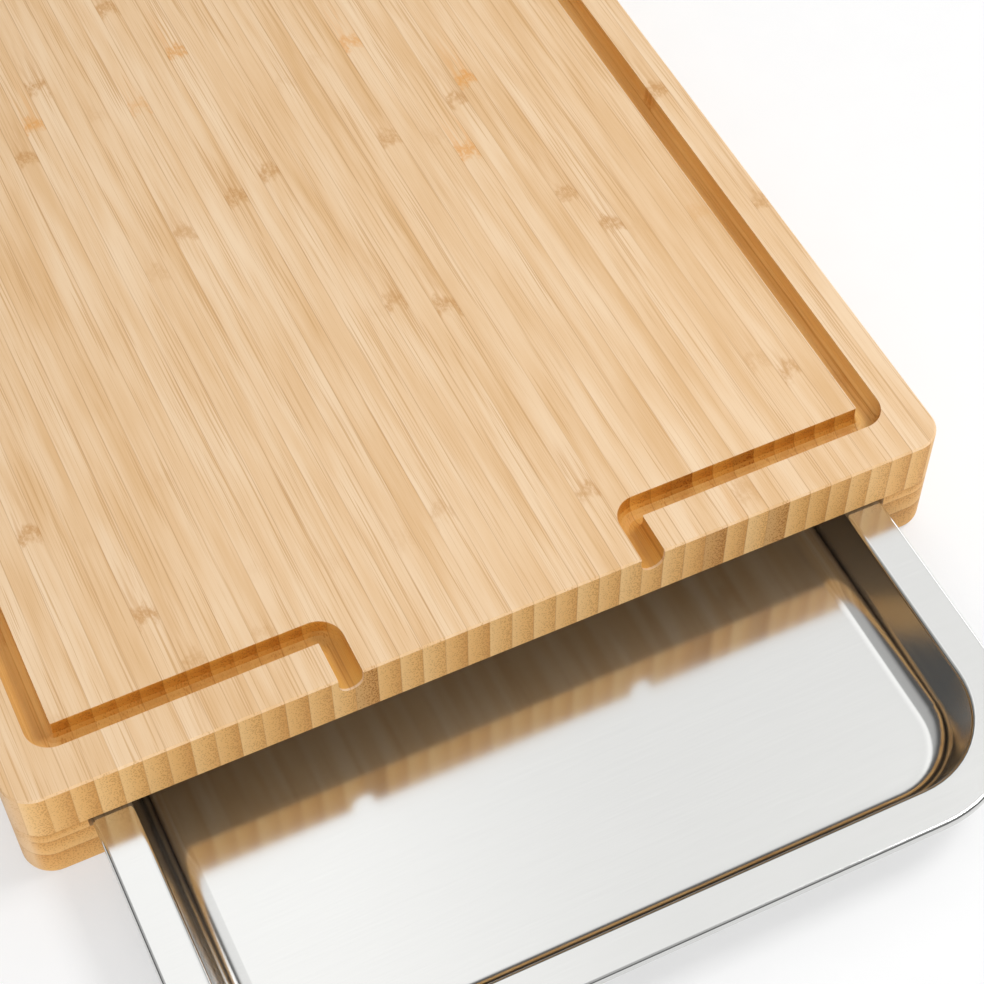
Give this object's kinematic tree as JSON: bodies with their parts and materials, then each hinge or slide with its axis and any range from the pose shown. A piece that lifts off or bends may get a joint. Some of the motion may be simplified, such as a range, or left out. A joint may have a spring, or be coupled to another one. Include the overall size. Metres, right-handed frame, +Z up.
{
  "type": "cutting board with drawer tray",
  "caption": "Thick bamboo cutting board with a juice groove that drains at its front spouts, raised on side rails over a stainless tray that slides out from under its end",
  "frame": {"origin": "the middle of the footprint on the table, with the tray drawn out as at rest", "axes": "+Z up; +Y along the grain, from the front, where the tray comes out, to the back; +X to the right as seen from the front"},
  "size_m": [0.3, 0.4954, 0.042],
  "materials": {
    "bamboo_strip": "oiled satin",
    "bamboo_ply": "oiled satin",
    "tray_steel": "satin"
  },
  "bodies": {
    "board": {"top_strip_01": "bamboo_strip", "top_strip_02": "bamboo_strip", "top_strip_03": "bamboo_strip", "top_strip_04": "bamboo_strip", "top_strip_05": "bamboo_strip", "top_strip_06": "bamboo_strip", "top_strip_07": "bamboo_strip", "top_strip_08": "bamboo_strip", "top_strip_09": "bamboo_strip", "top_strip_10": "bamboo_strip", "top_strip_11": "bamboo_strip", "top_strip_12": "bamboo_strip", "top_strip_13": "bamboo_strip", "top_strip_14": "bamboo_strip", "top_strip_15": "bamboo_strip", "top_strip_16": "bamboo_strip", "top_strip_17": "bamboo_strip", "top_strip_18": "bamboo_strip", "top_strip_19": "bamboo_strip", "top_strip_20": "bamboo_strip", "top_strip_21": "bamboo_strip", "top_strip_22": "bamboo_strip", "top_strip_23": "bamboo_strip", "top_strip_24": "bamboo_strip", "top_strip_25": "bamboo_strip", "top_strip_26": "bamboo_strip", "top_strip_27": "bamboo_strip", "top_strip_28": "bamboo_strip", "top_strip_29": "bamboo_strip", "top_strip_30": "bamboo_strip", "top_strip_31": "bamboo_strip", "top_strip_32": "bamboo_strip", "top_strip_33": "bamboo_strip", "top_strip_34": "bamboo_strip", "top_strip_35": "bamboo_strip", "top_strip_36": "bamboo_strip", "top_strip_37": "bamboo_strip", "top_strip_38": "bamboo_strip", "top_strip_39": "bamboo_strip", "top_strip_40": "bamboo_strip", "top_strip_41": "bamboo_strip", "top_strip_42": "bamboo_strip", "top_strip_43": "bamboo_strip", "lower_ply_left": "bamboo_ply", "lower_ply_back": "bamboo_ply", "lower_ply_right": "bamboo_ply", "middle_ply_left": "bamboo_ply", "middle_ply_back": "bamboo_ply", "middle_ply_right": "bamboo_ply", "slot_ply_left": "bamboo_ply", "slot_ply_back": "bamboo_ply", "slot_ply_right": "bamboo_ply"},
    "tray": {"tray": "tray_steel"}
  },
  "joints": [
    {"name": "tray_slide", "type": "slide", "parent": "board", "child": "tray", "axis": [0, -1, 0], "range_m": [-0.1055, 0.2417]}
  ]
}
